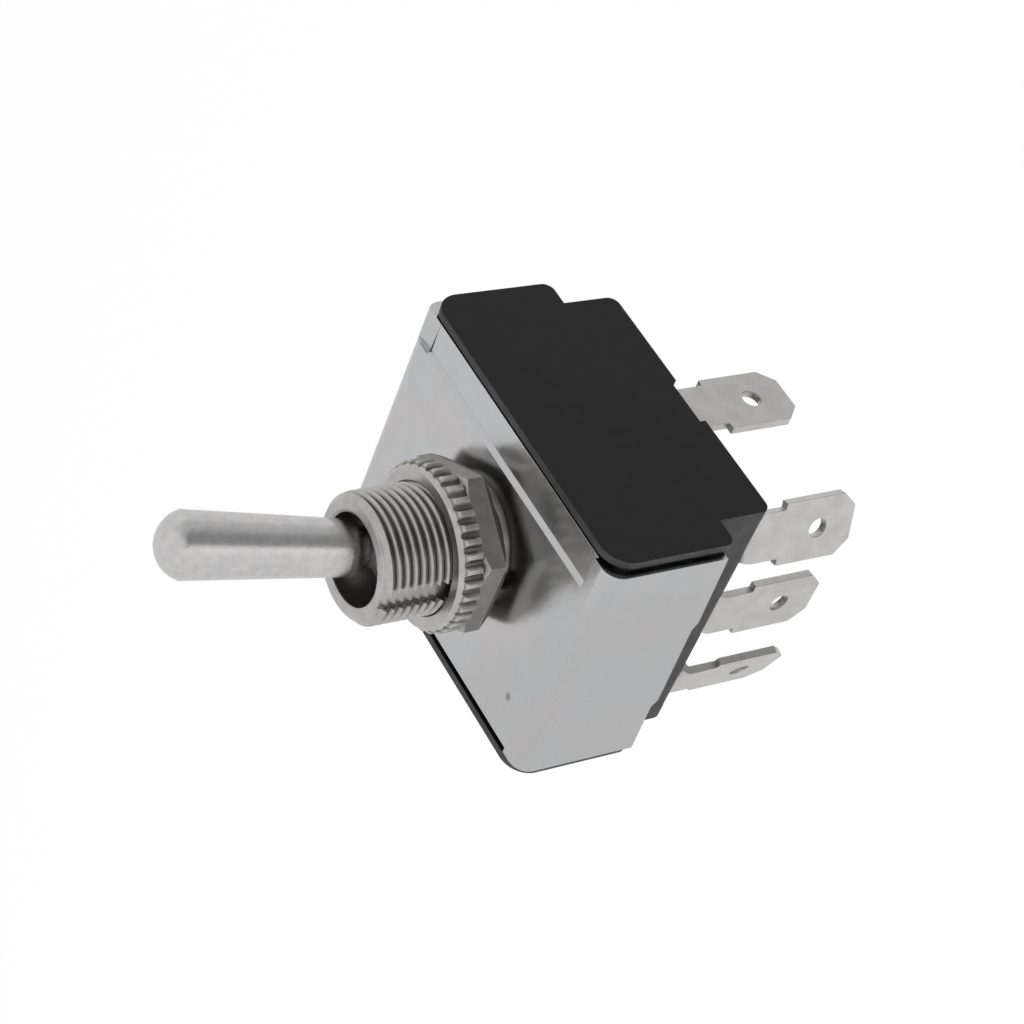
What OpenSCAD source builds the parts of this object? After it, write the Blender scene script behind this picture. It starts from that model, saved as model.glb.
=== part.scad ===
/* [Steel frame] */
// Width of the frame across its two legs
frame_w = 34.3; // [33.6:0.1:35.2]
// Width of the frame along the legs' edges
frame_d = 25.3; // [24.8:0.1:26.6]
// Thickness of the frame's steel
steel_t = 1; // [0.8:0.05:1.1]
// Outer radius of the two bends
bend_r = 1.7; // [1.4:0.1:2.4]
// Mean length of a leg from the front face
leg_len = 12.5; // [12.2:0.1:13.2]
// How far the two edge strips are pressed down
strip_drop = 0.4; // [0.2:0.05:0.5]
// Distance from the middle of the front plate to a pressed strip
strip_y = 9; // [8.2:0.1:10]
// Half length of a pressed strip
strip_x = 14.4; // [13:0.05:15]

/* [Bushing] */
// Radius over the thread
bushing_r = 5.95; // [5.9:0.01:6]
// Length in front of the frame
bushing_len = 12.2; // [11.6:0.1:14]
// Radius of the bore
bore_r = 4.16; // [4.1:0.02:4.3]
// Chamfer at the front edge of the thread
bushing_edge = 0.6; // [0.3:0.05:0.8]
// Width of the keyway
key_w = 1.85; // [1.5:0.05:2.2]
// Depth of the keyway
key_depth = 0.75; // [0.6:0.05:1]

/* [Nuts] */
// Hex nut across its flats
hex_af = 14.1; // [13.5:0.1:15]
// Thickness of the hex nut
hex_t = 2.35; // [2:0.05:2.5]
// Gap between the frame and the hex nut
nut_gap = 1.1; // [0.2:0.05:1.4]
// Radius over the knurl
knurl_r = 7.75; // [7.4:0.05:8.5]
// Width of the knurled band
knurl_band = 1.5; // [1.2:0.05:2]
// Width of the bevel in front of the knurled band
knurl_bevel = 0.7; // [0.5:0.05:0.9]
// Number of ridges in the knurl
knurl_count = 37; // [32:1:44]

/* [Lever] */
// Height of the lever's pivot in front of the frame
pivot_z = 6.1; // [5.9:0.05:6.2]
// Angle between the lever's two positions
throw_deg = 27; // [25:0.5:27.5]
// Distance from the pivot to the foot of the dome on the tip
lever_len = 20.95; // [17:0.05:25]
// Radius of the lever at the foot of the dome
tip_r = 3.04; // [2.6:0.02:3.4]
// Height of the dome on the tip
dome_up = 2.15; // [1.6:0.05:2.6]
// Radius of the lever where it leaves the bushing
mouth_r = 2.55; // [2.2:0.05:2.6]
// Radius of the neck under the shoulder
neck_r = 1.75; // [1.5:0.05:2]
// Radius of the ball round the pivot
ball_r = 3.85; // [3.5:0.05:3.9]
// Radius of the shank behind the ball
shank_r = 1.5; // [1.3:0.05:1.6]
// Radius of the pivot pin
pin_r = 0.9; // [0.8:0.05:1]

/* [Case] */
// Thickness of an end plate
plate_t = 0.75; // [0.6:0.05:1]
// Step from a leg's outer face to the side of an end plate
plate_side = 0.55; // [0.2:0.05:0.8]
// Gap between the frame's edge and an end plate
plate_gap = 0.42; // [0.3:0.02:0.6]
// Set-back of an end plate from the front face
plate_back = 0.25; // [0.1:0.05:0.5]
// Depth of the case from the front face to its barriers
case_depth = 18.6; // [18.3:0.1:19.5]
// Depth of the end plates' wide part
shoulder_depth = 12.95; // [12.6:0.05:13.3]
// Step from the end plates' wide part to the rear block
shoulder_in = 2.75; // [2.5:0.05:3]
// Thickness of the rear wall at the barriers
rear_wall = 2.4; // [2.2:0.05:2.6]
// Depth of the terminal pockets
pocket_depth = 0.6; // [0.4:0.05:0.7]
// Distance between two poles
pole_pitch = 8.2; // [8:0.05:8.4]
// Width of one pole's chamber
chamber_w = 6.4; // [6.2:0.05:6.5]

/* [Terminals] */
// Width of a tab
tab_w = 6.25; // [6.1:0.05:6.4]
// Thickness of a tab
tab_t = 0.8; // [0.75:0.01:0.85]
// Length of a tab from its shoulder
tab_len = 8.1; // [7.5:0.1:9]
// Height of the shoulder behind the case
shoulder_up = 3.1; // [2.5:0.1:5]
// Width of the neck and the foot
neck_w = 4.9; // [4.4:0.05:5]
// Radius of the hole in a tab
tab_hole_r = 0.95; // [0.7:0.05:1.2]
// Distance from the shoulder to the hole
tab_hole_up = 4.1; // [3.5:0.05:4.4]
// Corner cut along the tab
cut_up = 1.5; // [1:0.05:1.6]
// Corner cut across the tab
cut_side = 1.4; // [1:0.05:1.6]
// Distance from the rivet to the tab
foot_len = 4.2; // [4:0.05:4.4]
// Distance from the side of the rear block to an end tab's middle
tab_inset = 0.45; // [0.4:0.05:0.9]
// Turn of the two outer end terminals
fan_deg = 19; // [10:0.5:20]

/* [Contact works] */
// Tilt of a contact arm in either position
arm_deg = 7.8; // [7:0.1:8]
// Width of a contact arm
arm_w = 4; // [3.6:0.1:4.1]
// Thickness of a contact arm
arm_t = 0.8; // [0.7:0.05:0.9]
// Distance from a contact's middle to the end of its arm
arm_past = 1.55; // [1.4:0.05:1.8]
// Radius of the plunger's rounded tip
plunger_tip_r = 1.1; // [0.9:0.05:1.2]
// Radius of the plunger
plunger_r = 1.42; // [1.3:0.02:1.5]

/* [Hidden] */
$fn = 64;
e = 0.01;
fit = 0.05;
thin_fit = 0.02;
half_throw = throw_deg / 2;

// Frame, case and their common planes
frame_x = frame_w / 2;
frame_y = frame_d / 2;
plate_in = frame_y + plate_gap;
plate_out = plate_in + plate_t;
plate_x = frame_x - plate_side;
block_x = frame_x - steel_t - fit;
rear_x = plate_x - shoulder_in;
floor_z = -case_depth + rear_wall;
pocket_z = -case_depth + pocket_depth;
seat_z = -steel_t - strip_drop;

// Chambers
contact_x = rear_x - tab_inset - foot_len;
arm_len = contact_x + arm_past;
chamber_x = rear_x - 1.8;
wall_top = -7.2;
stop_w = 3;
stop_reach = 1.2;

// Nuts
hex_front = nut_gap + hex_t;
knurl_back = hex_front + thin_fit;
knurl_front = knurl_back + knurl_band + knurl_bevel;
knurl_in_r = knurl_r - 0.4;
knurl_turn = 5;
pitch_r = bushing_r - 0.3;
nut_clear = 0.3;

// Dome on the lever's tip
end_r = (tip_r * tip_r + dome_up * dome_up) / (2 * dome_up);
end_a = asin(tip_r / end_r);
end_n = 12;

// Contact works
dome_r = 4;
button_r = 1.4;
button_t = 0.45;
button_stem_r = 0.7;
head_t = 0.75;
head_r = 1.9;
contact_top = floor_z + head_t;
arm_under = -arm_t / 2;
button_x = contact_x + 0.15;
fulcrum_z = contact_top + thin_fit + dome_r + button_x * sin(arm_deg)
    - (dome_r + arm_under - button_t) * cos(arm_deg);
saddle_h = arm_t - 0.05;
saddle_gap = 0.06;
pivot_gap = pivot_z - fulcrum_z;
tip_arm = pivot_gap - saddle_h - plunger_tip_r - saddle_gap;
end_x = tip_arm * sin(half_throw) * cos(arm_deg)
    - (pivot_gap - tip_arm * cos(half_throw)) * sin(arm_deg);
end_z = tip_arm * sin(half_throw) * sin(arm_deg)
    + (pivot_gap - tip_arm * cos(half_throw)) * cos(arm_deg);
rise = end_z - (pivot_gap - tip_arm);
path_r = (end_x * end_x + rise * rise) / (2 * rise);
saddle_r = path_r + plunger_tip_r + saddle_gap;
saddle_x = button_x - 4.2;
saddle_top = saddle_h + saddle_r - sqrt(saddle_r * saddle_r - saddle_x * saddle_x);
trunnion_r = 0.7;
ear_t = 0.8;
ear_in = arm_w / 2 + 0.1;
ear_out = ear_in + ear_t;
base_t = 0.8;
base_x = 3;
ear_x = 1.7;
stop_top = fulcrum_z - arm_len * sin(arm_deg) + arm_under * cos(arm_deg) - 0.03;

// Actuator, measured with the lever upright
bar_top = -2.6;
bar_bottom = -6.5;
sleeve_bottom = -10.5;
sleeve_r = 2.3;
shank_end = -4.6;
spring_top = -5.2;
plunger_top = -8.2;
plunger_end = pivot_z - tip_arm - plunger_tip_r;
wire_r = 0.15;
coil_r = plunger_r - wire_r - 0.15;
coil_turns = 5;

rivet_r = 1;
rivet_fit = 0.05;
clinch_t = 0.5;
clinch_r = 1.7;
pocket_run = rivet_r + 1.6 + 2 * foot_len;
foot_top = pocket_z - tab_t;

function pole_y(i) = (2 - i) * pole_pitch;

// Rounded rectangle between two corners, with one radius for the low and one for the high corners
module round_rect(x, z0, z1, r0, r1) {
    translate([-x, z0 + r0]) square([2 * x, z1 - z0 - r0 - r1]);
    translate([-x + r0, z0]) square([2 * (x - r0), r0 + e]);
    translate([-x + r1, z1 - r1 - e]) square([2 * (x - r1), r1 + e]);
    for (s = [-1, 1]) {
        translate([s * (x - r0), z0 + r0]) circle(r0);
        translate([s * (x - r1), z1 - r1]) circle(r1);
    }
}

// Drawing in the XZ plane pushed out along Y, centred
module along_y(d) {
    translate([0, d / 2, 0]) rotate([90, 0, 0]) linear_extrude(d) children();
}

module steel_frame() {
    color("silver") difference() {
        union() {
            intersection() {
                along_y(frame_d) frame_profile();
                legs_outline();
            }
            for (s = [-1, 1]) pressed_strip(s);
        }
        translate([0, 0, -steel_t - 1]) cylinder(h = steel_t + 2, r = bushing_r - 0.75 + thin_fit);
        for (s = [-1, 1]) strip_hollow(s);
    }
}

// U-shape of the frame seen along Y
module frame_profile() {
    difference() {
        round_rect(frame_x, -leg_len - 2, 0, 0.1, bend_r);
        translate([0, -steel_t]) mirror([0, 1]) inner_profile();
    }
}

module inner_profile() {
    x = frame_x - steel_t;
    r = bend_r - steel_t;
    translate([-x, r]) square([2 * x, leg_len + 4]);
    translate([-x + r, 0]) square([2 * (x - r), r + e]);
    for (s = [-1, 1]) translate([s * (x - r), r]) circle(r);
}

// Outline of a leg seen from the side, with the shallow steps of its rear edge
module legs_outline() {
    y = frame_y;
    l = leg_len;
    rotate([90, 0, 90]) translate([0, 0, -frame_x - 1]) linear_extrude(frame_w + 2)
        polygon([[y, 1], [-y, 1], [-y, -l - 0.05], [-6.8, -l + 0.2], [-6, -l - 0.25],
            [3.5, -l + 0.15], [4.4, -l - 0.2], [y, -l + 0.25]]);
}

// Edge strip of the front plate, pressed back by strip_drop
module pressed_strip(s) {
    w = frame_y - strip_y - strip_drop;
    translate([-strip_x, s > 0 ? strip_y + strip_drop : -frame_y, seat_z])
        cube([2 * strip_x, w, steel_t]);
    along_x(2 * strip_x) mirror([s > 0 ? 0 : 1, 0]) polygon([[strip_y, 0],
        [strip_y + strip_drop + 0.2, -strip_drop], [strip_y + strip_drop + 0.2, seat_z],
        [strip_y - 0.2, seat_z + strip_drop], [strip_y - 0.2, 0]]);
}

module along_x(d) {
    translate([-d / 2, 0, 0]) rotate([90, 0, 90]) linear_extrude(d) children();
}

module strip_hollow(s) {
    along_x(2 * strip_x) mirror([s > 0 ? 0 : 1, 0]) polygon([[strip_y, 0],
        [strip_y + strip_drop, -strip_drop], [frame_y + 1, -strip_drop],
        [frame_y + 1, 1], [strip_y, 1]]);
}

// The thread is a cylinder over its crests, and its pitch cylinder where the nuts cover it
module bushing() {
    stake = steel_t + 0.5;
    color("gray") difference() {
        union() {
            cylinder(h = bushing_len - bushing_edge, r = bushing_r);
            translate([0, 0, bushing_len - bushing_edge])
                cylinder(h = bushing_edge, r1 = bushing_r, r2 = bushing_r - bushing_edge);
            translate([0, 0, -stake]) cylinder(h = stake + e, r = bushing_r - 0.75);
            translate([0, 0, -stake]) cylinder(h = stake - steel_t, r = bushing_r);
        }
        translate([0, 0, nut_gap]) difference() {
            cylinder(h = knurl_front + nut_clear - nut_gap, r = bushing_r + 1);
            translate([0, 0, -1]) cylinder(h = bushing_len, r = pitch_r);
        }
        translate([0, 0, -stake - 1]) cylinder(h = bushing_len + stake + 2, r = bore_r);
        translate([0, 0, bushing_len - 0.25]) cylinder(h = 0.25 + e, r1 = bore_r, r2 = bore_r + 0.25 + e);
        translate([bushing_r - key_depth, -key_w / 2, 0]) cube([key_depth + 1, key_w, bushing_len + 1]);
        translate([0, 0, pivot_z]) rotate([90, 0, 0])
            cylinder(h = 3 * bushing_r, r = pin_r, center = true);
    }
}

module hex_nut() {
    corner = hex_af / 2 / cos(30);
    color("gray") translate([0, 0, nut_gap]) difference() {
        intersection() {
            rotate([0, 0, 30]) cylinder(h = hex_t, r = corner, $fn = 6);
            union() {
                cylinder(h = 0.45, r1 = corner - 0.75, r2 = corner + 0.05);
                translate([0, 0, 0.45 - e]) cylinder(h = hex_t - 0.9 + 2 * e, r = corner + 0.05);
                translate([0, 0, hex_t - 0.45]) cylinder(h = 0.45, r1 = corner + 0.05, r2 = corner - 0.75);
            }
        }
        nut_bore(hex_t);
    }
}

module nut_bore(h) {
    r = pitch_r + fit;
    c = bushing_r - pitch_r + 0.1;
    translate([0, 0, -1]) cylinder(h = h + 2, r = r);
    translate([0, 0, -e]) cylinder(h = c, r1 = r + c, r2 = r);
    translate([0, 0, h - c + e]) cylinder(h = c, r1 = r, r2 = r + c);
}

module knurled_nut() {
    total = knurl_band + knurl_bevel;
    step = 360 / knurl_count;
    color("gray") translate([0, 0, knurl_back]) rotate([0, 0, knurl_turn]) difference() {
        intersection() {
            linear_extrude(total) polygon([for (i = [0 : knurl_count - 1]) each [
                knurl_point(knurl_in_r, (i + 0.12) * step), knurl_point(knurl_r, (i + 0.36) * step),
                knurl_point(knurl_r, (i + 0.64) * step), knurl_point(knurl_in_r, (i + 0.88) * step)]]);
            union() {
                cylinder(h = 0.15, r1 = knurl_r - 0.15, r2 = knurl_r + e);
                translate([0, 0, 0.15 - e]) cylinder(h = knurl_band - 0.15 + 2 * e, r = knurl_r + 0.05);
                translate([0, 0, knurl_band]) cylinder(h = knurl_bevel, r1 = knurl_r, r2 = knurl_r - knurl_bevel);
            }
        }
        nut_bore(total);
    }
}

function knurl_point(r, a) = [r * cos(a), r * sin(a)];

// Places children, drawn with the lever upright, in the lever's rest position
module tilted() {
    translate([0, 0, pivot_z]) rotate([0, -half_throw, 0]) translate([0, 0, -pivot_z]) children();
}

module toggle_lever() {
    s0 = 5.2;
    color("silver") tilted() translate([0, 0, pivot_z]) difference() {
        union() {
            rotate_extrude() polygon([[0, 3], [neck_r, 3], [neck_r, s0 - 1.2], [neck_r + 0.25, s0 - 0.5],
                [mouth_r - 0.5, s0], [mouth_r - 0.15, s0 + 0.3], [mouth_r, s0 + 0.8], [tip_r, lever_len],
                each [for (k = [1 : end_n]) let (a = end_a * (1 - k / end_n))
                    [end_r * sin(a), lever_len + dome_up - end_r * (1 - cos(a))]]]);
            sphere(ball_r);
            translate([0, 0, shank_end - pivot_z]) cylinder(h = pivot_z - shank_end, r = shank_r);
        }
        rotate([90, 0, 0]) cylinder(h = 3 * ball_r, r = pin_r + fit, center = true);
    }
}

module pivot_pin() {
    l = bushing_r - 0.6;
    color("silver") translate([0, 0, pivot_z]) rotate([90, 0, 0])
        cylinder(h = 2 * l, r = pin_r, center = true);
}

module case() {
    color([0.15, 0.15, 0.16]) difference() {
        union() {
            along_y(2 * (plate_in + e))
                round_rect(block_x, -shoulder_depth - e, seat_z, 0.1, bend_r - steel_t);
            for (s = [-1, 1]) translate([0, s * (plate_in + plate_t / 2), 0])
                along_y(plate_t) round_rect(plate_x, -shoulder_depth, -plate_back, 1, 2.5);
            along_y(2 * plate_out) round_rect(rear_x, -case_depth, -shoulder_depth + 1.5, 1, 0.1);
        }
        translate([-chamber_x, -pole_pitch - chamber_w / 2, wall_top])
            cube([2 * chamber_x, 2 * pole_pitch + chamber_w, 10]);
        for (i = [1 : 3]) {
            translate([-chamber_x, pole_y(i) - chamber_w / 2, floor_z])
                cube([2 * chamber_x, chamber_w, 20]);
            end_place(i) pocket();
            common_place(i) pocket();
        }
    }
    color([0.15, 0.15, 0.16]) for (i = [1 : 3])
        translate([-chamber_x - e, pole_y(i) - stop_w / 2, floor_z - e])
            cube([chamber_x - arm_len + stop_reach, stop_w, stop_top - floor_z + e]);
}

// Pocket for one terminal's foot, with the rivet's hole
module pocket() {
    w = neck_w / 2 + 0.15;
    translate([-rivet_r - 1.6, -w, -case_depth - 1]) cube([pocket_run, 2 * w, 1 + pocket_depth]);
    translate([0, 0, -case_depth - 1]) cylinder(h = rear_wall + 2, r = rivet_r + rivet_fit);
}

// Places of the terminals: rivet at the origin, foot along +X
module end_place(i) {
    translate([contact_x, pole_y(i), 0]) rotate([0, 0, (2 - i) * fan_deg]) children();
}

module common_place(i) {
    translate([0, pole_y(i), 0]) rotate([0, 0, i == 1 ? 90 : i == 2 ? 180 : -90]) children();
}

module terminal() {
    x1 = foot_len + tab_t / 2;
    r = tab_t + 0.3;
    tip = foot_top - shoulder_up - tab_len;
    shoulder = foot_top - shoulder_up;
    color("gainsboro") difference() {
        union() {
            along_y(neck_w) difference() {
                union() {
                    translate([-rivet_r - 1.3, foot_top]) square([x1 + rivet_r + 1.3 - r, tab_t]);
                    translate([x1 - tab_t, shoulder - 0.5]) square([tab_t, pocket_z - shoulder + 0.5 - r]);
                    translate([x1 - r, pocket_z - r]) circle(r);
                }
                translate([x1 - r, pocket_z - r]) circle(r - tab_t);
                translate([x1 - 2 * r, pocket_z - 2 * r]) square([r, 2 * r - tab_t]);
                translate([x1 - 2 * r, pocket_z - 2 * r]) square([2 * r - tab_t, r]);
            }
            translate([x1 - tab_t, 0, 0]) rotate([90, 0, 90]) linear_extrude(tab_t)
                polygon([[-tab_w / 2, shoulder], [tab_w / 2, shoulder], [tab_w / 2, tip + cut_up],
                    [tab_w / 2 - cut_side, tip], [cut_side - tab_w / 2, tip], [-tab_w / 2, tip + cut_up]]);
        }
        translate([x1 - 2, 0, shoulder - tab_hole_up]) rotate([0, 90, 0]) cylinder(h = 4, r = tab_hole_r);
        translate([0, 0, foot_top - 1]) cylinder(h = tab_t + 2, r = rivet_r + rivet_fit);
    }
}

module fixed_contact() {
    color("gold") {
        translate([0, 0, floor_z]) cylinder(h = head_t, r = head_r);
        translate([0, 0, foot_top - 0.3]) cylinder(h = floor_z - foot_top + 0.4, r = rivet_r);
        clinch();
    }
}

module common_rivet() {
    color("gold") {
        translate([0, 0, floor_z + base_t]) cylinder(h = button_t, r1 = clinch_r, r2 = clinch_r - 0.4);
        translate([0, 0, foot_top - 0.3]) cylinder(h = floor_z + base_t - foot_top + 0.4, r = rivet_r);
        clinch();
    }
}

// Rivet's end, spread over the foot of its terminal
module clinch() {
    translate([0, 0, foot_top - clinch_t]) cylinder(h = clinch_t, r1 = rivet_r + 0.1, r2 = clinch_r);
}

module fulcrum() {
    top = fulcrum_z + 0.8;
    color("peru") difference() {
        union() {
            translate([-base_x, -ear_out, floor_z]) cube([2 * base_x, 2 * ear_out, base_t]);
            for (s = [-1, 1]) translate([-ear_x, s > 0 ? ear_in : -ear_out, floor_z])
                cube([2 * ear_x, ear_t, top - floor_z]);
        }
        translate([0, 0, fulcrum_z]) rotate([90, 0, 0])
            cylinder(h = 4 * ear_out, r = trunnion_r + fit, center = true);
        translate([-trunnion_r - fit, -2 * ear_out, fulcrum_z])
            cube([2 * (trunnion_r + fit), 4 * ear_out, 2 * ear_out]);
        translate([0, 0, floor_z - base_t]) cylinder(h = 3 * base_t, r = rivet_r + rivet_fit);
    }
}

// Places children, drawn with the arm level, in the arm's rest position
module arm_place(i) {
    translate([0, pole_y(i), fulcrum_z]) rotate([0, arm_deg, 0]) children();
}

module contact_arm() {
    color("peru") difference() {
        union() {
            along_y(arm_w) {
                intersection() {
                    difference() {
                        translate([0, saddle_h + saddle_r]) circle(saddle_r + arm_t, $fn = 128);
                        translate([0, saddle_h + saddle_r]) circle(saddle_r, $fn = 128);
                    }
                    translate([-saddle_x, -2]) square([2 * saddle_x, saddle_top + 2]);
                }
                for (s = [0, 1]) mirror([s, 0]) polygon([[saddle_x - 0.3, saddle_top - 0.95],
                    [saddle_x - 0.55, saddle_top - 0.25], [saddle_x, saddle_top],
                    [button_x - 1.5, arm_t / 2], [arm_len, arm_t / 2], [arm_len, -arm_t / 2],
                    [button_x - 1.9, -arm_t / 2], [saddle_x - 0.05, saddle_top - 1.15]]);
            }
            rotate([90, 0, 0]) cylinder(h = 2 * (ear_out - 0.05), r = trunnion_r, center = true);
        }
        translate([button_x, 0, -arm_w]) cylinder(h = 2 * arm_w, r = button_stem_r);
        translate([0, 0, saddle_h + saddle_r]) rotate([90, 0, 0])
            cylinder(h = 2 * arm_w, r = saddle_r, center = true, $fn = 128);
    }
}

module moving_contact() {
    color("gold") {
        translate([button_x, 0, 0]) {
            intersection() {
                translate([0, 0, -arm_t / 2 - button_t]) cylinder(h = button_t, r = button_r);
                translate([0, 0, -arm_t / 2 - button_t + dome_r]) sphere(dome_r);
            }
            translate([0, 0, -arm_t / 2 - e]) cylinder(h = arm_t + 0.2, r = button_stem_r - thin_fit);
            translate([0, 0, arm_t / 2]) cylinder(h = 0.3, r1 = button_stem_r + 0.4, r2 = button_stem_r + 0.1);
        }
    }
}

module actuator() {
    color("ivory") tilted() difference() {
        union() {
            translate([-2, -pole_pitch, bar_bottom]) cube([4, 2 * pole_pitch, bar_top - bar_bottom]);
            for (i = [1 : 3]) translate([0, pole_y(i), sleeve_bottom])
                cylinder(h = bar_top - sleeve_bottom, r = sleeve_r);
        }
        for (i = [1 : 3]) translate([0, pole_y(i), sleeve_bottom - 1])
            cylinder(h = spring_top - sleeve_bottom + 1, r = plunger_r + fit);
        translate([0, 0, shank_end]) cylinder(h = 5, r = shank_r + thin_fit);
    }
}

module plunger(i) {
    color("tan") tilted() translate([0, pole_y(i), 0]) {
        translate([0, 0, sleeve_bottom + 0.3]) cylinder(h = plunger_top - sleeve_bottom - 0.3, r = plunger_r);
        translate([0, 0, plunger_end + plunger_tip_r])
            cylinder(h = sleeve_bottom + 0.3 - plunger_end - plunger_tip_r + e, r = plunger_tip_r);
        translate([0, 0, plunger_end + plunger_tip_r]) sphere(plunger_tip_r);
    }
}

module plunger_spring(i) {
    color("silver") tilted() translate([0, pole_y(i), plunger_top + wire_r + 0.02])
        coil(coil_r, wire_r, spring_top - plunger_top - 2 * wire_r - 0.04, coil_turns);
}

// Round wire wound into an open coil
module coil(r, wire, h, turns) {
    steps = 18;
    sides = 8;
    n = turns * steps;
    ring_points = [for (k = [0 : n]) for (j = [0 : sides - 1])
        let (a = 360 * k / steps, b = 360 * j / sides, q = r + wire * cos(b))
        [q * cos(a), q * sin(a), h * k / n + wire * sin(b)]];
    skin = [for (k = [0 : n - 1]) for (j = [0 : sides - 1])
        let (p = k * sides, m = (j + 1) % sides)
        each [[p + j, p + m, p + sides + j], [p + m, p + sides + m, p + sides + j]]];
    start_cap = [for (j = [sides - 1 : -1 : 0]) j];
    end_cap = [for (j = [0 : sides - 1]) n * sides + j];
    polyhedron(ring_points, concat(skin, [start_cap, end_cap]));
}

steel_frame();
bushing();
hex_nut();
knurled_nut();
toggle_lever();
pivot_pin();
case();
actuator();
plunger(1);  // plunger_1
plunger(2);  // plunger_2
plunger(3);  // plunger_3
plunger_spring(1);  // plunger_spring_1
plunger_spring(2);  // plunger_spring_2
plunger_spring(3);  // plunger_spring_3
arm_place(1) contact_arm();  // contact_arm_1
arm_place(2) contact_arm();  // contact_arm_2
arm_place(3) contact_arm();  // contact_arm_3
arm_place(1) moving_contact();  // moving_contact_1
arm_place(2) moving_contact();  // moving_contact_2
arm_place(3) moving_contact();  // moving_contact_3
translate([0, pole_y(1), 0]) fulcrum();  // fulcrum_1
translate([0, pole_y(2), 0]) fulcrum();  // fulcrum_2
translate([0, pole_y(3), 0]) fulcrum();  // fulcrum_3
translate([0, pole_y(1), 0]) common_rivet();  // common_rivet_1
translate([0, pole_y(2), 0]) common_rivet();  // common_rivet_2
translate([0, pole_y(3), 0]) common_rivet();  // common_rivet_3
translate([contact_x, pole_y(1), 0]) fixed_contact();  // fixed_contact_1
translate([contact_x, pole_y(2), 0]) fixed_contact();  // fixed_contact_2
translate([contact_x, pole_y(3), 0]) fixed_contact();  // fixed_contact_3
common_place(1) terminal();  // common_terminal_1
common_place(2) terminal();  // common_terminal_2
common_place(3) terminal();  // common_terminal_3
end_place(1) terminal();  // end_terminal_1
end_place(2) terminal();  // end_terminal_2
end_place(3) terminal();  // end_terminal_3
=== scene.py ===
"""Looks of the panel toggle switch: threaded bushing, nuts, lever, plated frame, moulded case and tabs."""

import math

import bmesh
import bpy
from mathutils import Matrix, Vector

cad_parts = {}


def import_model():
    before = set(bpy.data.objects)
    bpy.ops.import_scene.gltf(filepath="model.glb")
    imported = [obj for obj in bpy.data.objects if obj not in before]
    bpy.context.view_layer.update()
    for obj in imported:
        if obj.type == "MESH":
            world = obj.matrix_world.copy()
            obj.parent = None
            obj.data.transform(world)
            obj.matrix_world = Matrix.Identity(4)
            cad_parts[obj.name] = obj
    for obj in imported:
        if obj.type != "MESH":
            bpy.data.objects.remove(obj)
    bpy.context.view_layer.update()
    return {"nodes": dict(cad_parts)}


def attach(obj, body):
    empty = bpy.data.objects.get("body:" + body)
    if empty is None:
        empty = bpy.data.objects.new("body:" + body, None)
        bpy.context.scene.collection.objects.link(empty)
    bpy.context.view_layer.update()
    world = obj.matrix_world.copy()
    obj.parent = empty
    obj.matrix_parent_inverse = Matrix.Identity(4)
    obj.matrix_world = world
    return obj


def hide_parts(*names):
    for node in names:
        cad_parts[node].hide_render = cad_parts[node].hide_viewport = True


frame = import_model()
NODES = frame["nodes"]
MM = 0.001
FULL_TURN = 2 * math.pi
TURN_STEPS, HELIX_STEPS = 128, 96
scene = bpy.context.scene


# ---------------------------------------------------------------- shader kit

class Socket:
    """A node's output; the plain operators on it add Math nodes."""

    def __init__(self, finish, output):
        self.finish, self.output = finish, output

    def _math(self, operation, *values):
        return self.finish.node("Math", {"operation": operation}, dict(enumerate(values)))

    def __add__(self, other):
        return self._math("ADD", self, other)

    def __radd__(self, other):
        return self._math("ADD", other, self)

    def __sub__(self, other):
        return self._math("SUBTRACT", self, other)

    def __rsub__(self, other):
        return self._math("SUBTRACT", other, self)

    def __mul__(self, other):
        return self._math("MULTIPLY", self, other)

    def __rmul__(self, other):
        return self._math("MULTIPLY", other, self)

    def __pow__(self, other):
        return self._math("POWER", self, other)

    def __abs__(self):
        return self._math("ABSOLUTE", self)


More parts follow.
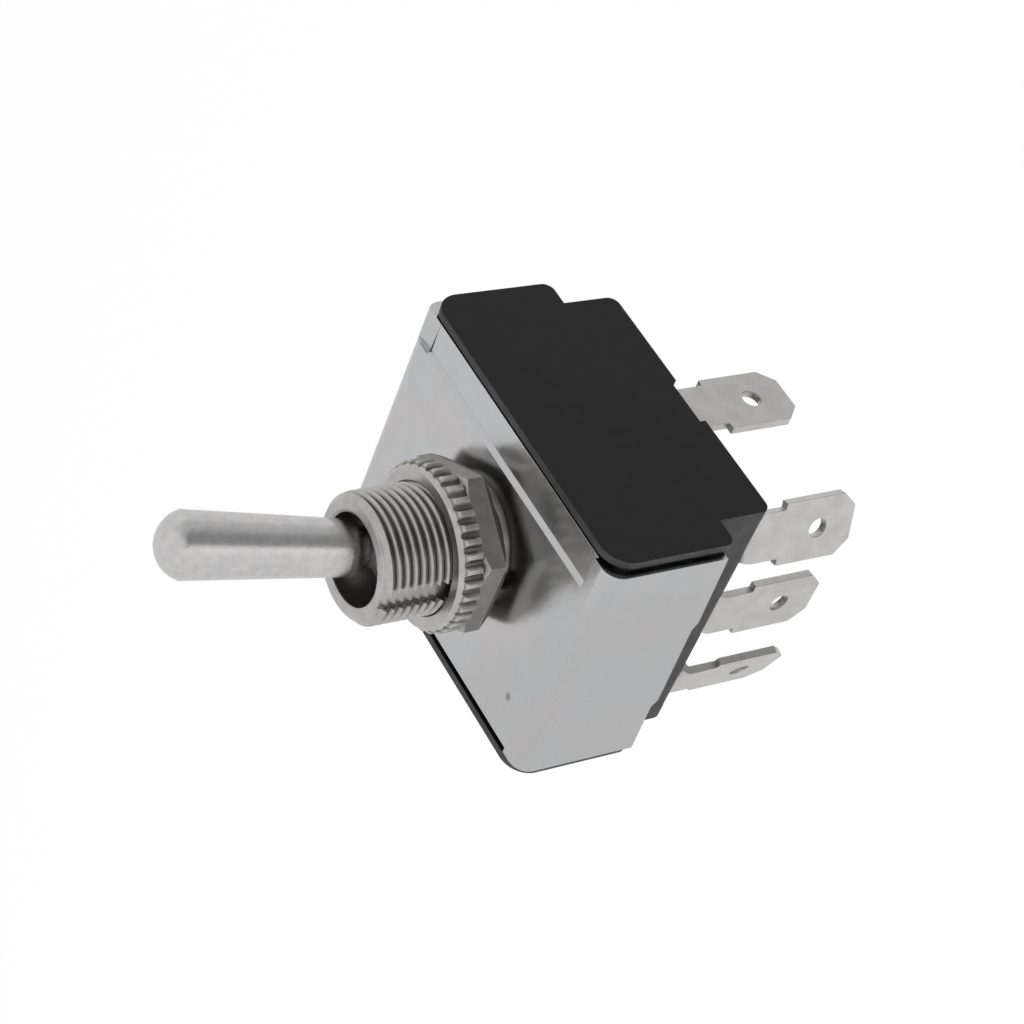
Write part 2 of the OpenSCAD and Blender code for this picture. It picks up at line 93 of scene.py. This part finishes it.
class Finish:
    """A material under construction: one node tree, one shader and a method that adds any node."""

    def __init__(self, name, tree=None, **constants):
        if tree is None:
            self.material = bpy.data.materials.new(name)
            self.material.use_nodes = True
            tree = self.material.node_tree
            self.shader = tree.nodes["Principled BSDF"]
            for socket, value in constants.items():
                self.shader.inputs[socket.replace("_", " ")].default_value = value
        self.tree = tree

    def node(self, kind, settings=None, sockets=None, output=0):
        made = self.tree.nodes.new("ShaderNode" + kind)
        for name, value in (settings or {}).items():
            if name == "stops":
                ramp = made.color_ramp
                while len(ramp.elements) < len(value):
                    ramp.elements.new(1)
                for element, (place, colour) in zip(ramp.elements, value):
                    element.position = place
                    element.color = colour if isinstance(colour, tuple) else (colour, colour, colour, 1)
            else:
                setattr(made, name, value)
        for name, value in (sockets or {}).items():
            self.feed(made.inputs[name], value)
        return Socket(self, made.outputs[output])

    def feed(self, socket, value):
        if isinstance(value, Socket):
            self.tree.links.new(value.output, socket)
        elif isinstance(value, Vector):
            socket.default_value = tuple(value)
        else:
            socket.default_value = value

    def set(self, socket, value):
        self.feed(self.shader.inputs[socket], value)

    def place(self, scale=(1, 1, 1), shift=(0, 0, 0), turn=(0, 0, 0)):
        """Object coordinates in millimetres, turned and stretched."""
        where = self.node("TexCoord", output="Object")
        return self.node("Mapping", {"vector_type": "POINT"}, {
            "Vector": where, "Location": shift, "Rotation": turn,
            "Scale": tuple(s * 1000 for s in scale)})

    def axes(self, vector=None):
        parts = self.node("SeparateXYZ", sockets={0: vector or self.place()})
        owner = parts.output.node
        return [Socket(self, owner.outputs[i]) for i in range(3)]

    def noise(self, vector, scale, detail=3.0, roughness=0.5, distortion=0.0):
        return self.node("TexNoise", sockets={
            "Vector": vector, "Scale": scale, "Detail": detail,
            "Roughness": roughness, "Distortion": distortion})

    def ramp(self, factor, *stops):
        return self.node("ValToRGB", {"stops": stops}, {0: factor})

    def mask(self, factor, low, high, out_low=0.0, out_high=1.0):
        """Runs smoothly from out_low to out_high while factor goes from low to high."""
        return self.node("MapRange", {"interpolation_type": "SMOOTHSTEP"}, {
            "Value": factor, "From Min": low, "From Max": high,
            "To Min": out_low, "To Max": out_high})

    def mix(self, factor, first, second):
        made = self.node("Mix", {"data_type": "RGBA", "blend_type": "MIX", "clamp_factor": True})
        inputs = made.output.node.inputs
        self.feed(inputs[0], factor)
        self.feed(inputs[6], first)
        self.feed(inputs[7], second)
        return Socket(self, made.output.node.outputs[2])

    def bump(self, height, strength, distance, under=None):
        sockets = {"Height": height, "Strength": strength, "Distance": distance}
        if under is not None:
            sockets["Normal"] = under
        return self.node("Bump", sockets=sockets)


def grey(value, tint=(1, 1, 1)):
    return tuple(value * t for t in tint) + (1,)


# ---------------------------------------------------------------- finishes

def zinc_steel():
    """Bright zinc on rolled steel: soft mirror, faint blue and pink cast, drawing scratches and a nick,
    with painted shade darkening it towards +X and -Y.
    """
    f = Finish("zinc_steel", Metallic=1.0)
    x, y, z = f.axes()
    cast = f.noise(f.place((0.16, 0.12, 0.16)), 1.0, 2)
    cloud = f.noise(f.place((0.35, 0.25, 0.35), (7, 3, 1)), 1.0, 4, 0.6)
    base = f.mix(f.mask(cast, 0.38, 0.62),
                 grey(0.58, (0.97, 1.0, 1.02)), grey(0.58, (1.02, 0.99, 1.0)))
    base = f.mix(f.mask(cloud, 0.3, 0.75) * 0.35, base, grey(0.66))
    # Painted shade: the colour darkens towards +X and -Y across the frame.
    base = f.mix(f.mask(x - y * 0.6, 4.0, 17.0) * 0.3, base, grey(0.42))
    streaks = f.noise(f.place((14, 0.5, 14)), 1.0, 3, 0.6)
    fine = f.noise(f.place((26, 1.6, 26), turn=(0, 0, math.radians(4))), 1.0, 2)
    near_bend = f.mask(x, 12.0, 14.5) * f.mask(z, -4.5, -1.5)
    marks = f.mask(streaks, 0.60, 0.72) * (0.35 + near_bend * 0.65)
    base = f.mix(marks * 0.35, base, grey(0.36))
    specks = f.noise(f.place((9, 9, 9)), 1.0, 1)
    base = f.mix(f.mask(specks, 0.71, 0.76) * 0.35, base, grey(0.3))
    flecks = f.noise(f.place((2.6, 2.6, 2.6), (3, 8, 5)), 1.0, 3, 0.7)
    on_leg = f.mask(x, 17.0, 17.12) * f.mask(z, -10.5, -9.0) * f.mask(z, -4.0, -2.5, 1.0, 0.0)
    base = f.mix(f.mask(flecks, 0.60, 0.66) * on_leg * 0.28, base, grey(0.44))
    nick = ((x - 12.2) ** 2 + ((y + 7.6) * 0.7) ** 2) ** 0.5
    nicked = f.mask(nick, 0.18, 0.42, 1.0, 0.0) * f.mask(z, -0.2, -0.05)
    base = f.mix(nicked * 0.7, base, grey(0.16))
    f.set("Base Color", base)
    f.set("Roughness", 0.13 + cloud * 0.12 + marks * 0.14 + fine * 0.04)
    waves = f.noise(f.place((0.45, 0.3, 0.45)), 1.0, 2)
    soft = f.bump(waves, 0.5, 0.00008)
    f.set("Normal", f.bump(streaks * 0.6 + fine * 0.4 - nicked, 0.12, 0.00004, soft))
    return f.material


NICKEL_TINT = (1.0, 0.975, 0.93)
DARK_BAND_TINT = (1.06, 0.97, 0.92)


def nickel(name, dark_band, base=0.52, rough=0.24):
    """Plated brass, warm grey, painted darker over a band of radii below a height.

    The second argument gives, in millimetres, the radius where the darkened band starts, the radii where
    it is full and where it ends, and the height of its upper end.
    """
    f = Finish(name, Metallic=1.0)
    x, y, z = f.axes()
    cloud = f.noise(f.place((0.8, 0.8, 0.8)), 1.0, 4, 0.6)
    fine = f.noise(f.place((6, 6, 6)), 1.0, 3)
    colour = f.mix(f.mask(cloud, 0.3, 0.7), grey(base * 0.9, NICKEL_TINT), grey(base * 1.08, NICKEL_TINT))
    floor, full, clean, top = dark_band
    radius = (x * x + y * y) ** 0.5
    # The band painted darker: painted shade in the knurl grooves and behind the hex nut, darker thread
    # roots and flanks on the bushing.
    held = (f.mask(radius, full, clean, 0.9, 0.0) * f.mask(radius, floor - 0.03, floor)
            * f.mask(z, top - 0.05, top, 1.0, 0.0))
    uneven = f.mask(cloud, 0.2, 0.6, 0.65, 0.95)
    colour = f.mix(held * uneven, colour, grey(base * 0.2, DARK_BAND_TINT))
    colour = f.mix(f.mask(fine, 0.64, 0.74) * 0.3, colour, grey(base * 0.5, NICKEL_TINT))
    f.set("Base Color", colour)
    f.set("Roughness", rough + cloud * 0.12 + fine * 0.05)
    f.set("Normal", f.bump(fine, 0.10, 0.00004))
    return f.material


def satin_nickel():
    """Barrel-polished lever: even fine grain over a soft mirror."""
    f = Finish("satin_nickel", Metallic=1.0)
    grain = f.noise(f.place((7, 7, 7)), 1.0, 3, 0.6)
    wide = f.noise(f.place((1.3, 1.3, 1.3)), 1.0, 3)
    colour = f.mix(f.mask(wide, 0.3, 0.7), grey(0.60, (1.0, 0.985, 0.985)), grey(0.68, (1.0, 0.985, 0.98)))
    f.set("Base Color", colour)
    f.set("Roughness", 0.2 + grain * 0.1 + wide * 0.06)
    f.set("Normal", f.bump(grain, 0.16, 0.00004, f.bump(wide, 0.2, 0.00006)))
    return f.material


def black_phenolic():
    """Moulded case: black on its two broad plates; its edges and sides are painted greyer, painted light
    for the light they catch.
    """
    f = Finish("black_phenolic", Metallic=0.0, Specular_IOR_Level=0.25)
    facing = f.node("NewGeometry", output="Normal")
    broad = f.mask(abs(f.axes(facing)[1]), 0.75, 0.98)
    cloud = f.noise(f.place((0.5, 0.5, 0.5)), 1.0, 3)
    grain = f.noise(f.place((12, 12, 12)), 1.0, 3, 0.6)
    # Painted light: faces not facing ±Y get this greyer colour for the light the edges and sides catch.
    sides = f.mix(f.mask(cloud, 0.3, 0.7), grey(0.030), grey(0.042))
    plates = f.mix(f.mask(cloud, 0.3, 0.7), grey(0.0045, (1, 1, 1.15)), grey(0.0070, (1, 1, 1.12)))
    f.set("Base Color", f.mix(broad, sides, plates))
    f.set("Roughness", 0.42 + grain * 0.16)
    f.set("Normal", f.bump(grain, 0.25, 0.00003))
    return f.material


def tab_plate():
    """Tinned brass blades: even warm grey with faint rolling lines."""
    f = Finish("tab_plate", Metallic=1.0)
    lines = f.noise(f.place((10, 10, 0.6)), 1.0, 3, 0.6)
    cloud = f.noise(f.place((0.6, 0.6, 0.6)), 1.0, 3)
    colour = f.mix(f.mask(cloud, 0.3, 0.7), grey(0.58, (1.0, 0.99, 0.965)), grey(0.66, (1.0, 0.99, 0.97)))
    spots = f.noise(f.place((5, 5, 5), (2, 1, 4)), 1.0, 1)
    colour = f.mix(f.mask(spots, 0.7, 0.76) * 0.3, colour, grey(0.3))
    f.set("Base Color", colour)
    f.set("Roughness", 0.3 + cloud * 0.12 + lines * 0.06)
    f.set("Normal", f.bump(lines, 0.12, 0.00003))
    return f.material


def metal(name, colour, rough=0.3):
    """Hidden metal pieces: even colour, slight mottling and a fine drawn grain."""
    f = Finish(name, Metallic=1.0)
    cloud = f.noise(f.place((1.1, 1.1, 1.1)), 1.0, 3)
    fine = f.noise(f.place((8.0, 8.0, 2.0)), 1.0, 3)
    f.set("Base Color", f.mix(f.mask(cloud, 0.3, 0.7), grey(0.85, colour), grey(1, colour)))
    f.set("Roughness", rough + cloud * 0.14 + fine * 0.06)
    f.set("Normal", f.bump(fine, 0.12, 0.00003))
    return f.material


def moulded(name, colour):
    """Hidden moulded pieces: even nylon with a fine skin."""
    f = Finish(name, Metallic=0.0)
    cloud = f.noise(f.place((0.9, 0.9, 0.9)), 1.0, 3)
    fine = f.noise(f.place((14, 14, 14)), 1.0, 2)
    f.set("Base Color", f.mix(f.mask(cloud, 0.3, 0.7), grey(0.9, colour), grey(1.05, colour)))
    f.set("Roughness", 0.45 + fine * 0.14)
    f.set("Normal", f.bump(fine, 0.2, 0.00003))
    return f.material


FINISHES = {
    "zinc_steel": zinc_steel(),
    # The thread roots and flanks, radii 5.35 to 5.86, are painted darker.
    "nickel_bushing": nickel("nickel_bushing", dark_band=(5.35, 5.5, 5.86, 11.62)),
    # Painted shadow: the hex nut's lower 1.5 mm is painted dark for the shaded gap behind it. Its base of
    # 0.40, below the other nickel parts, is painted shade for its dark facets.
    "nickel_nut": nickel("nickel_nut", base=0.40, rough=0.26, dark_band=(5.0, 8.2, 8.6, 1.5)),
    # Painted shade: the knurl's groove roots, radii 7.3 to 7.7 below 5.3 mm, are painted dark.
    "nickel_knurl": nickel("nickel_knurl", base=0.53, dark_band=(7.3, 7.40, 7.70, 5.3)),
    "satin_nickel": satin_nickel(),
    "pin_steel": metal("pin_steel", (0.5, 0.5, 0.5)),
    "black_phenolic": black_phenolic(),
    "grey_nylon": moulded("grey_nylon", (0.42, 0.42, 0.40)),
    "tan_nylon": moulded("tan_nylon", (0.50, 0.40, 0.27)),
    "spring_steel": metal("spring_steel", (0.45, 0.45, 0.46), 0.25),
    "contact_brass": metal("contact_brass", (0.62, 0.46, 0.22)),
    "silver_contact": metal("silver_contact", (0.78, 0.77, 0.74), 0.35),
    "rivet_brass": metal("rivet_brass", (0.66, 0.50, 0.26)),
    "tab_plate": tab_plate(),
}


# ---------------------------------------------------------------- shapes

def settle(bm, name, body, slot, *nodes, smooth=30):
    """Turns finished mesh work into a piece that rides on a body and stands for its nodes."""
    mesh = bpy.data.meshes.new(name)
    bm.to_mesh(mesh)
    bm.free()
    mesh.shade_smooth()
    mesh.set_sharp_from_angle(angle=math.radians(smooth))
    piece = bpy.data.objects.new(name, mesh)
    scene.collection.objects.link(piece)
    mesh.materials.append(FINISHES[slot])
    even = piece.modifiers.new("even_faces", "WEIGHTED_NORMAL")
    even.keep_sharp, even.weight = True, 100
    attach(piece, body)
    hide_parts(*nodes)
    return piece


def turned(profile, closed=True):
    """Spins a profile of (radius, height) pairs about the Z axis; a closed one is a ring."""
    bm = bmesh.new()
    points = [bm.verts.new((r * MM, 0, z * MM)) for r, z in profile]
    pairs = list(zip(points, points[1:] + points[:1])) if closed else list(zip(points, points[1:]))
    edges = [bm.edges.new(pair) for pair in pairs]
    bmesh.ops.spin(bm, geom=points + edges, cent=(0, 0, 0), axis=(0, 0, 1), angle=FULL_TURN,
                   steps=TURN_STEPS, use_merge=True)
    bmesh.ops.remove_doubles(bm, verts=bm.verts, dist=1e-7)
    bmesh.ops.dissolve_degenerate(bm, edges=bm.edges, dist=1e-8)
    bmesh.ops.recalc_face_normals(bm, faces=bm.faces)
    return bm


SHARP_ANGLE = math.radians(28)


def soften(bm, width):
    """Rounds every sharp edge by a width in millimetres."""
    sharp = [e for e in bm.edges if e.is_manifold and e.calc_face_angle() > SHARP_ANGLE]
    bmesh.ops.bevel(bm, geom=sharp, offset=width * MM, offset_type="OFFSET", affect="EDGES",
                    segments=2, profile=0.5, material=-1, clamp_overlap=True, loop_slide=True)
    return bm


def copy_of(node):
    """A merged copy of a node's mesh with its flat faces joined up."""
    bm = bmesh.new()
    bm.from_mesh(NODES[node].data)
    bmesh.ops.remove_doubles(bm, verts=bm.verts, dist=2e-6)
    bmesh.ops.dissolve_limit(bm, angle_limit=math.radians(0.5), verts=bm.verts, edges=bm.edges,
                             use_dissolve_boundaries=False, delimit=set())
    bmesh.ops.recalc_face_normals(bm, faces=bm.faces)
    return bm


def block(low, high):
    """A box between two corners, in millimetres."""
    bm = bmesh.new()
    bmesh.ops.create_cube(bm, size=1)
    low, high = Vector(low) * MM, Vector(high) * MM
    bmesh.ops.scale(bm, vec=high - low, verts=bm.verts)
    bmesh.ops.translate(bm, vec=(low + high) / 2, verts=bm.verts)
    return bm


def carve(bm, tool):
    """Cuts one closed shape with another and gives back the result."""
    held = []
    for shape in (bm, tool):
        mesh = bpy.data.meshes.new("held")
        shape.to_mesh(mesh)
        shape.free()
        held.append(bpy.data.objects.new("held", mesh))
        scene.collection.objects.link(held[-1])
    cut = held[0].modifiers.new("cut", "BOOLEAN")
    cut.operation, cut.solver, cut.object = "DIFFERENCE", "EXACT", held[1]
    seen = bpy.context.evaluated_depsgraph_get()
    result = bmesh.new()
    result.from_mesh(held[0].evaluated_get(seen).to_mesh())
    held[0].evaluated_get(seen).to_mesh_clear()
    for o in held:
        mesh = o.data
        bpy.data.objects.remove(o)
        bpy.data.meshes.remove(mesh)
    return result


def helix(section, pitch, turns, low):
    """Sweeps a closed section of (radius, height) pairs up a right-hand helix and caps its ends."""
    bm = bmesh.new()
    points = [bm.verts.new((r * MM, 0, (low + z) * MM)) for r, z in section]
    edges = [bm.edges.new(pair) for pair in zip(points, points[1:] + points[:1])]
    bmesh.ops.spin(bm, geom=points + edges, cent=(0, 0, 0), axis=(0, 0, 1), angle=FULL_TURN * turns,
                   dvec=(0, 0, pitch * MM / HELIX_STEPS), steps=int(HELIX_STEPS * turns))
    bmesh.ops.holes_fill(bm, edges=[e for e in bm.edges if e.is_boundary], sides=0)
    bmesh.ops.recalc_face_normals(bm, faces=bm.faces)
    return bm


# ---------------------------------------------------------------- threaded bushing

BUSH_R, BUSH_TOP, BORE_R, EDGE = 5.95, 12.2, 4.16, 0.6
ROOT_R, PITCH, FIRST = 5.45, 0.818, 0.50
KEY_W, KEY_FLOOR, KEY_TURN = 1.98, 5.2, 6.0


def bushing():
    blank = turned([
        (BORE_R, -1.5), (BUSH_R, -1.5), (BUSH_R, -1.0), (5.2, -1.0), (5.2, 0.0), (BUSH_R, 0.0),
        (BUSH_R, BUSH_TOP - EDGE), (BUSH_R - EDGE, BUSH_TOP - 0.03), (BUSH_R - EDGE - 0.12, BUSH_TOP),
        (BORE_R + 0.3, BUSH_TOP), (BORE_R + 0.06, BUSH_TOP - 0.12), (BORE_R, BUSH_TOP - 0.35)])
    flank = [(ROOT_R, 0.04), (ROOT_R + 0.05, 0.105), (5.88, 0.295), (6.03, 0.44)]
    groove = helix([(r, -z) for r, z in flank] + [(r, z) for r, z in reversed(flank)],
                   PITCH, 14.75, FIRST)
    threaded = carve(blank, groove)
    key = block((KEY_FLOOR, -KEY_W / 2, -0.01), (7, KEY_W / 2, 13))
    bmesh.ops.rotate(key, verts=key.verts, cent=(0, 0, 0),
                     matrix=Matrix.Rotation(math.radians(KEY_TURN), 3, "Z"))
    keyed = carve(threaded, key)
    bmesh.ops.remove_doubles(keyed, verts=keyed.verts, dist=1e-7)
    return settle(keyed, "threaded_bushing", "housing", "nickel_bushing", "bushing", smooth=24)


# ---------------------------------------------------------------- lever

PIVOT, TILT = 6.1, 13.5
CONE_TOP, TIP_R, DOME_UP = 20.95, 3.04, 2.15


def lever():
    rings = [(0.0, 3.0), (1.75, 3.0), (1.75, 4.2), (1.82, 4.45), (2.0, 4.75), (2.2, 5.1), (2.4, 5.5),
             (2.5, 5.85), (2.55, 6.25)]
    rings += [(2.55 + (TIP_R - 2.55) * t, 6.25 + (CONE_TOP - 6.25) * t) for t in (0.25, 0.5, 0.75, 0.985)]
    dome_r = (TIP_R ** 2 + DOME_UP ** 2) / (2 * DOME_UP)
    middle, rim = CONE_TOP + DOME_UP - dome_r, math.asin(TIP_R / dome_r)
    rings += [(dome_r * math.sin(a), middle + dome_r * math.cos(a))
              for a in (rim * k / 14 for k in range(14, 0, -1))] + [(0.0, CONE_TOP + DOME_UP)]
    stem = turned([(0.0, -10.7), (1.5, -10.7), (1.5, -3.545)] + [
        (3.85 * math.cos(a), 3.85 * math.sin(a)) for a in (math.radians(d) for d in range(-64, 63, 6))]
        + [(1.75, 3.45)] + rings[2:], closed=False)
    turn = Matrix.Translation((0, 0, PIVOT * MM)) @ Matrix.Rotation(math.radians(-TILT), 4, "Y")
    bmesh.ops.transform(stem, matrix=turn, verts=stem.verts)
    return settle(stem, "bat_lever", "lever", "satin_nickel", "toggle_lever", smooth=40)


bushing()
lever()
for node, slot, width in (("hex_nut", "nickel_nut", 0.06), ("knurled_nut", "nickel_knurl", 0.05),
                          ("case", "black_phenolic", 0.16)):
    settle(soften(copy_of(node), width), node + "_dressed", "housing", slot, node)

# The pressed strips run out into the bend away from the tabs
STRIP_Y, STRIP_END, STRIP_DROP = 9.2, -14.3, 0.4
pressed = copy_of("steel_frame")
for side in (-1, 1):
    y_low, y_high = sorted((side * STRIP_Y, side * 14.0))
    pressed = carve(pressed, block((-18.0, y_low, -STRIP_DROP), (STRIP_END, y_high, 1.0)))
settle(soften(pressed, 0.06), "steel_frame_dressed", "housing", "zinc_steel", "steel_frame")
for kind in ("common_terminal", "end_terminal"):
    for i in (1, 2, 3):
        settle(soften(copy_of(f"{kind}_{i}"), 0.07), f"{kind}_{i}_dressed", "housing", "tab_plate",
               f"{kind}_{i}")

for node in NODES.values():
    for place in node.material_slots:
        key = place.material.name.split(".")[0] if place.material else None
        if key in FINISHES:
            place.material = FINISHES[key]


# ---------------------------------------------------------------- stage, light and camera

def stage():
    bm = bmesh.new()
    bmesh.ops.create_grid(bm, x_segments=1, y_segments=1, size=3.0)
    bmesh.ops.translate(bm, vec=(0, 0, -0.09), verts=bm.verts)
    mesh = bpy.data.meshes.new("floor")
    bm.to_mesh(mesh)
    bm.free()
    floor = bpy.data.objects.new("floor", mesh)
    scene.collection.objects.link(floor)
    floor.visible_glossy = False
    f = Finish("floor")
    f.set("Base Color", grey(0.9))
    f.set("Roughness", 1.0)
    f.set("Specular IOR Level", 0.0)
    seen = f.node("LightPath", output="Is Camera Ray")
    glow = f.node("Emission", sockets={"Color": grey(1.0), "Strength": 1.0})
    mixed = f.node("MixShader", sockets={0: seen * 0.88, 1: Socket(f, f.shader.outputs[0]), 2: glow})
    f.tree.links.new(mixed.output, f.tree.nodes["Material Output"].inputs["Surface"])
    mesh.materials.append(f.material)


def world():
    made = bpy.data.worlds.new("studio")
    made.use_nodes = True
    scene.world = made
    f = Finish("studio", made.node_tree)
    direction = f.node("TexCoord", output="Generated")
    x, y, z = f.axes(direction)
    side = x * 0.682 - y * 0.731
    front = f.mask(x * 0.731 + y * 0.682, -0.08, 0.12)
    opening = f.ramp(side * 0.5 + 0.5, (0.0, 0.62), (0.12, 0.6), (0.2, 0.32), (0.49, 0.28), (0.505, 0.5),
                     (0.515, 1.12), (0.58, 1.1), (0.7, 0.88), (1.0, 0.82))
    ring = f.mix(front, grey(0.80), opening)
    tone = f.mix(f.mask(z, 0.4, 0.85), ring, grey(0.84))
    seen = f.node("LightPath", output="Is Camera Ray")
    tone = f.mix(seen, tone, grey(1.0))
    back = made.node_tree.nodes["Background"]
    f.tree.links.new(tone.output, back.inputs["Color"])
    back.inputs["Strength"].default_value = 1.0


def lamp(name, place, target, size, power, glossy=True):
    data = bpy.data.lights.new(name, "AREA")
    data.size, data.energy = size, power
    made = bpy.data.objects.new(name, data)
    scene.collection.objects.link(made)
    made.location = place
    made.rotation_mode = "QUATERNION"
    made.rotation_quaternion = (Vector(target) - Vector(place)).to_track_quat("-Z", "Y")
    made.visible_glossy = glossy
    made.visible_camera = False


def camera():
    right = Vector((0.467885, 0.303652, -0.829989))
    down = Vector((0.708716, -0.689990, 0.147085))
    ahead = Vector((-0.528020, -0.657046, -0.538043))
    data = bpy.data.cameras.new("camera")
    data.lens, data.sensor_width = 92.4628, 36
    data.clip_start, data.clip_end = 0.01, 20
    made = bpy.data.objects.new("camera", data)
    scene.collection.objects.link(made)
    turn = Matrix((right, -down, -ahead)).transposed().to_4x4()
    made.matrix_world = Matrix.Translation((0.1230057, 0.1557025, 0.1217916)) @ turn
    scene.camera = made


stage()
world()
lamp("key", (0.5, -0.25, 0.25), (0, 0, 0), 0.4, 3.0, glossy=False)
camera()
scene.view_settings.view_transform = "Standard"
